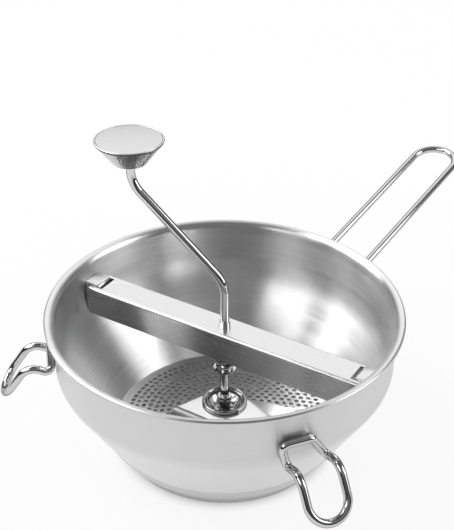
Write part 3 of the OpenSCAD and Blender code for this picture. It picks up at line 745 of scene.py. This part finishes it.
def make_knob_lid():
    """The knob's lid, slightly domed, with a skirt that drops into the cup."""
    edge, skirt, crown, rings = 21.65, 18.6, 0.6, 12
    dome = [(edge * k / rings, KNOB_TOP - crown * (k / rings) ** 2) for k in range(rings)]
    return turned("knob_lid", dome + [
        (edge - 0.15, KNOB_TOP - 0.62), (edge, KNOB_TOP - 0.85), (edge, KNOB_TOP - 1.6),
        (edge - 1.2, KNOB_TOP - 2.1), (skirt, KNOB_TOP - 2.1), (skirt, KNOB_TOP - 1.5),
        (0.0, KNOB_TOP - 1.1)], centre=KNOB_PLACE, degrees=40.0)


# ---- handle, hooks and brackets ----------------------------------------------------------------

ROUND_END = 0.995                               # an end's bend, as a share of half the loop


def at_wall(side):
    """Distance from the axis of a wire that touches the wall, at a distance to the side."""
    return math.sqrt((WALL_R + WIRE_R + WELD_GAP) ** 2 - side * side)


def wall_loop(name, half, cross, lean, top, legs, turn):
    """A closed wire: a crosspiece on the wall, turned by lean, and legs to a round end."""
    c, s = at_turn(1.0, lean)
    sides = []
    for side in (1, -1):
        x, y = at_wall(0.0), side * cross / 2
        sides.append([(x * c - y * s, x * s + y * c, top, legs[0][2], 6)]
                     + [(px, side * half, pz, pr, n) for px, pz, pr, n in legs])
    path = bent_path(sides[0] + sides[1][::-1], closed=True)
    return wire(name, turn_about_axis(path, turn), WIRE_R, closed=True)


def make_handle():
    """The long handle, rising outwards from two legs on the wall."""
    half, z, slope, reach = 17.75, 64.0, math.radians(12.2), 290.0
    foot = at_wall(half)
    end = reach + half * math.cos(slope)
    end_z = z + math.tan(slope) * (end - foot)
    return wall_loop("long_handle", half, 2 * half, 0.0, z + 17.0,
                     [(foot, z, 4.5, 8), (end, end_z, half * ROUND_END, 24)], HANDLE_TURN)


def make_hook(name, turn):
    """A hook for a pot's rim: up and out from the wall, then down to a round end."""
    half, z, fall = 13.5, 66.0, math.radians(55.0)
    crest, rise, reach = 16.0, 7.0, 27.5
    foot = at_wall(half)
    end = foot + reach + half * math.cos(fall)
    end_z = z + rise - (reach - crest) * math.tan(fall) - half * math.sin(fall)
    return wall_loop(name, half, 20.0, -3.6, z + 17.5,
                     [(foot, z, 4.0, 6), (foot + crest, z + rise, 11.0, 12),
                      (end, end_z, half * ROUND_END, 18)], turn)


def make_bracket(name, side):
    """A strap of sheet: its leg on the wall, its arm over the bar and its tip in the slot."""
    bar_gap_top = BAR_TOP + BRACKET_GAP
    leg_x = math.sqrt((WALL_R - SHEET) ** 2 - (BRACKET_W / 2) ** 2) - WELD_GAP - BRACKET_T / 2
    arm_z = bar_gap_top + BRACKET_T / 2
    foot_z = bar_gap_top + BRACKET_T - BRACKET_LEG
    path = [(leg_x, arm_z), (BRACKET_TIP_X, arm_z), (BRACKET_TIP_X, bar_gap_top - BRACKET_TIP)]
    middle = (foot_z + BRACKET_W / 2) * MM
    strap = add_plane((leg_x * MM, 0.0, middle), size=BRACKET_W * MM, turn=(0.0, math.pi / 2, 0.0))
    strap.name = name
    for poly in strap.data.polygons:
        poly.select = False
    for v in strap.data.vertices:
        v.select = v.co.z > middle
        v.co.z = (arm_z if v.select else foot_z) * MM
    for edge in strap.data.edges:
        edge.select = all(strap.data.vertices[v].select for v in edge.vertices)
    bpy.ops.object.mode_set(mode="EDIT")
    bpy.ops.mesh.select_mode(type="EDGE")
    for (x1, z1), (x2, z2) in zip(path, path[1:]):
        bpy.ops.mesh.extrude_region_move(
            TRANSFORM_OT_translate={"value": ((x2 - x1) * MM, 0.0, (z2 - z1) * MM)})
    bpy.ops.object.mode_set(mode="OBJECT")
    add_bevel(strap, 1.2, segments=4)
    add_sheet(strap, BRACKET_T, even=True)
    add_bevel(strap, 0.25, degrees=50.0)
    apply_all(strap)
    if side < 0:
        strap.rotation_euler = (0.0, 0.0, math.pi)
        apply_place(strap)
    smooth(strap)
    return strap


# ---- stage -------------------------------------------------------------------------------------

# Stops of (metres from the middle, level) on the floor, and of (height, level) in the room
FLOOR_BY_EYE = [(0.070, 0.0), (0.080, 0.88), (0.25, 0.93), (0.45, 0.98)]
FLOOR_IN_METAL = [(0.070, 0.0), (0.080, 0.70)]
TABLE_MIDDLE, TABLE_EDGE = (0.09, -0.14, 0.0), [(0.38, 1.0), (0.58, 0.06)]
ROOM_BY_HEIGHT = [(0.0, 0.04), (0.3, 0.06), (0.55, 0.22), (0.8, 0.25), (1.0, 0.08)]
LAMP_TARGET = (0.0, 0.0, 0.07)
# Each lamp's name, place, size in metres and power in watts
LAMPS = [("left_box", (-1.5, -0.35, 1.5), (1.3, 1.7), 30.0),
         ("back_box", (-0.95, 1.5, 1.5), (2.4, 1.9), 13.5),
         ("right_strip", (1.6, 0.75, 1.0), (1.1, 1.4), 15.0),
         ("front_box", (-0.6, -1.6, 1.3), (1.2, 0.8), 8.0)]


def make_stage():
    """A pale floor: near white to the eye, a smaller pale table as metal mirrors it."""
    floor = add_plane((0.0, 0.0, 0.0), size=12.0)
    floor.name = "floor"
    material = bpy.data.materials.new("pale_floor")
    tree = tree_of(material)
    shader = tree.nodes["Principled BSDF"]
    shader.inputs["Base Color"].default_value = grey(0.9)
    shader.inputs["Roughness"].default_value = 0.8
    glow = add_node(tree, "Emission", {"Color": grey(1.0), "Strength": 1.0})

    place = object_place(tree)
    ray = add_node(tree, "LightPath").outputs
    from_mill = add_node(tree, "VectorMath", {0: place}, operation="LENGTH").outputs["Value"]
    from_table = add_node(tree, "VectorMath", {0: place, 1: TABLE_MIDDLE},
                          operation="DISTANCE").outputs["Value"]
    seen = calc(tree, "MULTIPLY",
                calc(tree, "MAXIMUM", ray["Is Camera Ray"], ray["Is Transmission Ray"]),
                grey_ramp(tree, from_mill, FLOOR_BY_EYE))
    mirrored = calc(tree, "MULTIPLY", ray["Is Glossy Ray"],
                    grey_ramp(tree, from_mill, FLOOR_IN_METAL))
    mirrored = calc(tree, "MULTIPLY", mirrored, grey_ramp(tree, from_table, TABLE_EDGE))
    mix = add_node(tree, "MixShader", {
        "Fac": calc(tree, "MAXIMUM", seen, mirrored),
        1: shader.outputs["BSDF"], 2: glow.outputs["Emission"]})
    tree.links.new(mix.outputs["Shader"], tree.nodes["Material Output"].inputs["Surface"])
    floor.data.materials.append(material)


def set_light():
    """A dim room that the eye sees as white, with four soft lamps."""
    world = bpy.data.worlds.new("pale_room")
    bpy.context.scene.world = world
    tree = tree_of(world)
    direction = add_node(tree, "TexCoord").outputs["Generated"]
    height = add_node(tree, "SeparateXYZ", {"Vector": direction}).outputs["Z"]
    by_eye = add_node(tree, "LightPath").outputs["Is Camera Ray"]
    room = blend(tree, by_eye, grey_ramp(tree, height, ROOM_BY_HEIGHT), grey(1.0))
    tree.links.new(room, tree.nodes["Background"].inputs["Color"])
    tree.nodes["Background"].inputs["Strength"].default_value = 1.0
    for name, place, size, power in LAMPS:
        data = bpy.data.lights.new(name, "AREA")
        data.shape = "RECTANGLE"
        data.size, data.size_y = size
        data.energy = power
        lamp = bpy.data.objects.new(name, data)
        bpy.context.scene.collection.objects.link(lamp)
        lamp.location = place
        away = Vector(LAMP_TARGET) - Vector(place)
        lamp.rotation_euler = away.to_track_quat("-Z", "Y").to_euler()


# ---- the mill ----------------------------------------------------------------------------------

set_camera()

bowl_shell = make_bowl()
settle(bowl_shell, "bowl", bowl_steel, "bowl_steel", "bowl")
second_finish_and_painted_shade(bowl_shell, outer_steel, is_outside)
for name, z, place, holes, lug_turn, node in (
        ("fitted_disc", DISC_Z, (0.0, 0.0), medium_holes, math.pi / 2, "straining_disc"),
        ("coarse_disc", 0.0, STACK_PLACE, coarse_holes, 0.0, "spare_disc_coarse"),
        ("medium_disc", STACK_STEP, STACK_PLACE, medium_holes, 0.0, "spare_disc_medium"),
        ("fine_disc", 2 * STACK_STEP, STACK_PLACE, fine_holes, 0.0, "spare_disc_fine")):
    settle(make_disc(name, z, place, holes, lug_turn), "bowl", disc_steel, "disc_steel", node)
settle(make_bracket("bracket_strap_right", 1), "bowl", bar_steel, "bowl_steel", "bracket_right")
settle(make_bracket("bracket_strap_left", -1), "bowl", bar_steel, "bowl_steel", "bracket_left")
settle(make_handle(), "bowl", wire_chrome, "wire_chrome", "handle_loop")
settle(make_hook("pot_hook_left", LEFT_HOOK_TURN), "bowl", wire_chrome, "wire_chrome",
       "hook_left")
settle(make_hook("pot_hook_right", RIGHT_HOOK_TURN), "bowl", wire_chrome, "wire_chrome",
       "hook_right")

settle(make_rod(), "crank", rod_chrome, "rod_chrome", "crank_rod")
settle(make_collar(), "crank", small_steel, "small_steel", "shaft_collar")
blade = make_blade()
settle(blade, "crank", blade_steel, "blade_steel", "blade")
# The blade's edges and front lip are painted in shade.
second_finish_and_painted_shade(blade, lip_painted_shade_steel, is_lip)
settle(make_hub(), "crank", hub_steel, "small_steel", "blade_hub")
settle(make_hub_wire(), "crank", wire_chrome, "small_steel", "hub_clip")

knob_cup = make_knob_cup()
settle(knob_cup, "knob", knob_chrome, "knob_chrome", "knob_shell")
second_finish_and_painted_shade(knob_cup, lid_steel, is_cup_lip)
settle(make_knob_lid(), "knob", lid_steel, "knob_satin", "knob_cap")

coat_node("crossbar", bar_steel)
coat_node("crossbar_bushing", rod_chrome)
for node in ("upper_spring_washer", "lower_spring_washer", "spring_pin", "knob_washer"):
    coat_node(node, small_steel)
coat_node("spring", spring_steel)
coat_node("knob_sleeve", sleeve_plastic)

make_stage()
set_light()
bpy.context.scene.view_settings.view_transform = "Standard"
